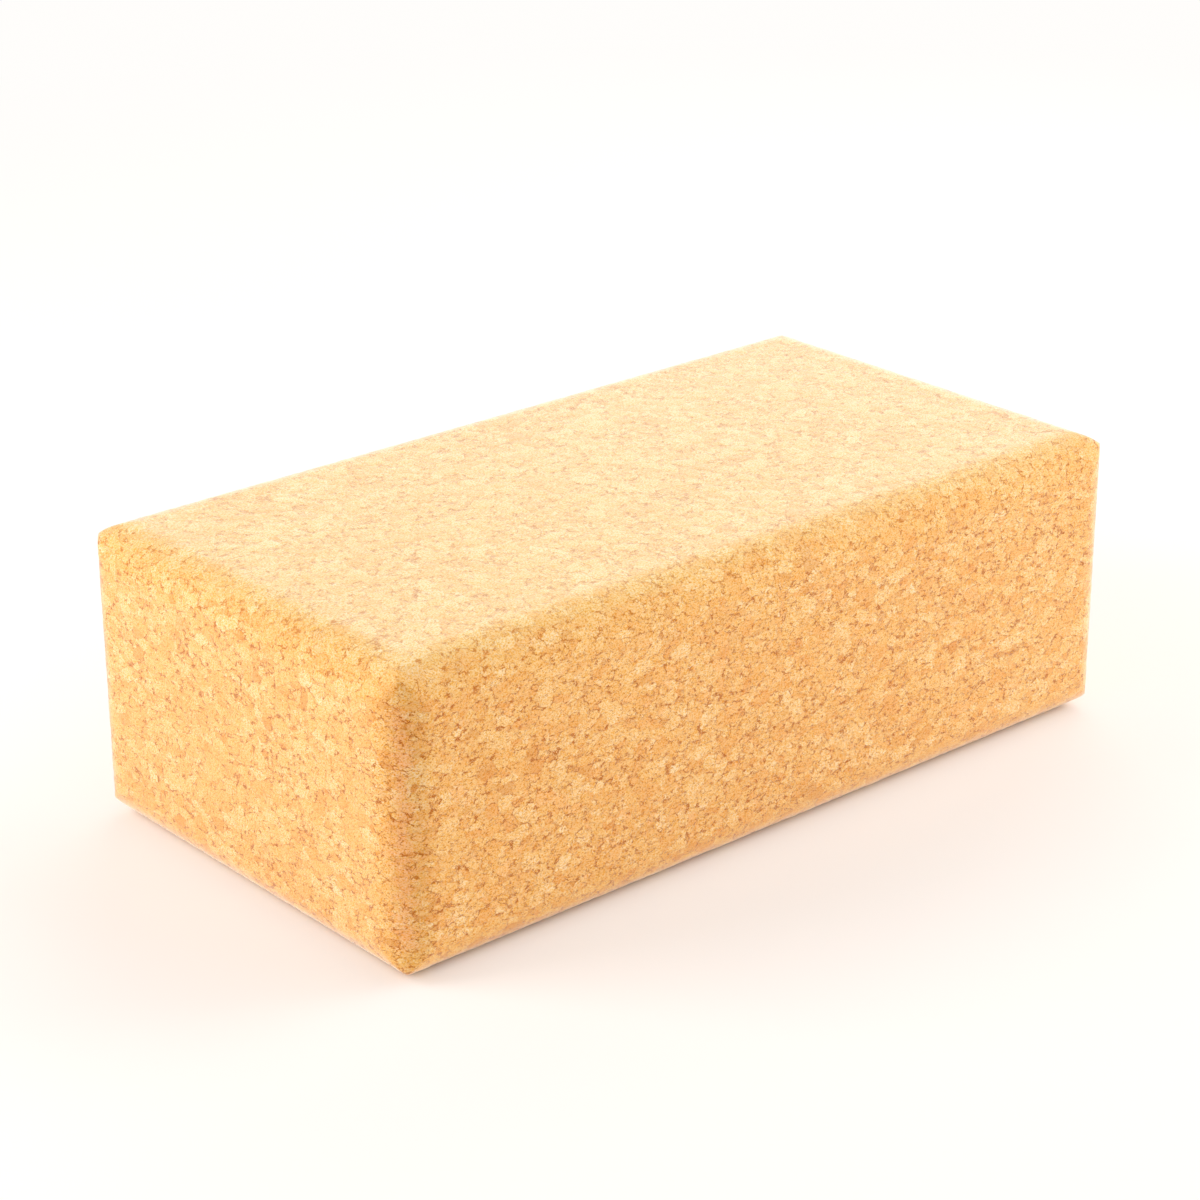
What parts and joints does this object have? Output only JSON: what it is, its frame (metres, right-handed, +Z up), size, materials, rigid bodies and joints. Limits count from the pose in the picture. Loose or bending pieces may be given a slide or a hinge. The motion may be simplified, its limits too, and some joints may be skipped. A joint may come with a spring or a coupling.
{
  "type": "yoga block",
  "caption": "Plain cork yoga block: a rectangular brick of pressed cork granules with rounded edges, to stand, sit or lean on in yoga practice.",
  "frame": {"origin": "centre of the block's resting face, on the ground", "axes": "+X along the length, +Y across the width, +Z up through the thickness"},
  "size_m": [0.227, 0.12, 0.075],
  "materials": {
    "cork": "matt sanded cork granules, pale tan with darker flecks"
  },
  "bodies": {
    "root": {"cork_block": "cork"}
  },
  "joints": []
}
